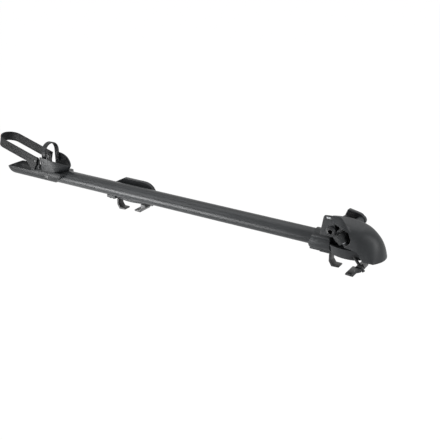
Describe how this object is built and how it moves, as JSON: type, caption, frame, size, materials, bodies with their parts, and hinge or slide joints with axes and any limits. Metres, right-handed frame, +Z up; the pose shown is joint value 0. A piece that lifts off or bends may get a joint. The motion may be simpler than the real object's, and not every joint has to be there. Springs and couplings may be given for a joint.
{
  "type": "roof mounted bike carrier",
  "caption": "Long round tube clamped across roof bars, with a fork lock head and folded lever at one end, a sliding wheel tray with strap and hoop at the other, and knob-tightened claw clamps.",
  "frame": {"origin": "middle of the front pad's underside, where the carrier sits on the front crossbar", "axes": "+X along the tube towards the fork head, +Y across the car to the lever's side, +Z up"},
  "size_m": [1.3269, 0.124, 0.1738],
  "materials": {
    "tube_alloy": "satin dark grey",
    "grey_plastic": "fine grain, dark grey",
    "black_plastic": "fine grain, black",
    "black_rubber": "matte",
    "plated_steel": "zinc plated",
    "black_steel": "black powder coat",
    "pale_mark": "plain pale inlay"
  },
  "bodies": {
    "carrier": {"main_tube": "tube_alloy", "tube_end_plug": "black_plastic", "head_base": "grey_plastic", "socket_screws": "plated_steel", "head_cover": "grey_plastic", "cover_screws": "plated_steel", "indicator_mark": "pale_mark", "axle_sleeve": "black_steel", "near_dropout_seat": "black_steel", "far_dropout_seat": "black_steel", "front_saddle": "grey_plastic", "saddle_screws": "plated_steel", "front_pad": "black_rubber", "front_fixed_claw": "black_steel", "front_claw_screws": "plated_steel", "front_washer": "plated_steel"},
    "front_knob_and_bolt": {"front_knob": "black_plastic", "front_bolt": "black_steel"},
    "front_moving_claw": {"front_claw": "black_steel"},
    "lever": {"lock_lever": "black_plastic", "lever_grip": "black_rubber", "lever_shaft": "plated_steel", "lever_screw": "plated_steel"},
    "plunger": {"lock_plunger": "black_steel"},
    "rear_clamp": {"rear_carriage": "grey_plastic", "rear_cover": "grey_plastic", "rear_cover_screws": "plated_steel", "rear_pad": "black_rubber", "rear_fixed_claw": "black_steel", "rear_claw_screws": "plated_steel", "rear_washer": "plated_steel", "rear_slide_screws": "black_steel", "rear_slide_nut": "plated_steel"},
    "rear_knob_and_bolt": {"rear_knob": "black_plastic", "rear_bolt": "black_steel"},
    "rear_moving_claw": {"rear_claw": "black_steel"},
    "tray": {"wheel_tray": "black_plastic", "wheel_cradle": "black_plastic", "cradle_screws": "black_steel", "strap_pins": "black_steel", "hoop_pins": "black_steel"},
    "tray_screw": {"tray_lock_screw": "black_steel"},
    "strap": {"wheel_strap": "black_rubber"},
    "hoop": {"tyre_hoop": "black_plastic"}
  },
  "joints": [
    {"name": "front_knob_turn", "type": "hinge", "parent": "carrier", "child": "front_knob_and_bolt", "pos_m": [0.041, -0.025, 0], "axis": [-0.6428, 0, 0.766], "range_deg": [0, 2880]},
    {"name": "front_claw_slide", "type": "slide", "parent": "carrier", "child": "front_moving_claw", "axis": [0.6428, 0, -0.766], "range_m": [0, 0.01]},
    {"name": "lever_swing", "type": "hinge", "parent": "carrier", "child": "lever", "pos_m": [0.008, 0.06, 0.077], "axis": [0, 1, 0], "range_deg": [0, 110]},
    {"name": "plunger_slide", "type": "slide", "parent": "carrier", "child": "plunger", "axis": [1, 0, 0], "range_m": [0, 0.00656]},
    {"name": "rear_clamp_slide", "type": "slide", "parent": "carrier", "child": "rear_clamp", "axis": [1, 0, 0], "range_m": [-0.035, 0.15]},
    {"name": "rear_knob_turn", "type": "hinge", "parent": "rear_clamp", "child": "rear_knob_and_bolt", "pos_m": [-0.677, 0.054, 0], "axis": [-0.6428, 0, 0.766], "range_deg": [0, 2880]},
    {"name": "rear_claw_slide", "type": "slide", "parent": "rear_clamp", "child": "rear_moving_claw", "axis": [0.6428, 0, -0.766], "range_m": [0, 0.01]},
    {"name": "tray_slide", "type": "slide", "parent": "carrier", "child": "tray", "axis": [1, 0, 0], "range_m": [-0.06, 0.09]},
    {"name": "tray_screw_turn", "type": "hinge", "parent": "tray", "child": "tray_screw", "pos_m": [-1.013, -0.03, 0.032], "axis": [0, -1, 0], "range_deg": [0, 720]},
    {"name": "strap_swing", "type": "hinge", "parent": "tray", "child": "strap", "pos_m": [-1.05, 0, 0.078], "axis": [0, 1, 0], "range_deg": [-20, 70]},
    {"name": "hoop_swing", "type": "hinge", "parent": "tray", "child": "hoop", "pos_m": [-1.016, 0, 0.077], "axis": [0, 1, 0], "range_deg": [-25, 35]}
  ],
  "couplings": [
    {"joint": "front_knob_turn", "follows": "front_claw_slide", "rad_per_m": 5026.5},
    {"joint": "rear_knob_turn", "follows": "rear_claw_slide", "rad_per_m": 5026.5},
    {"joint": "plunger_slide", "follows": "lever_swing", "m_per_rad": 0.0034134}
  ]
}
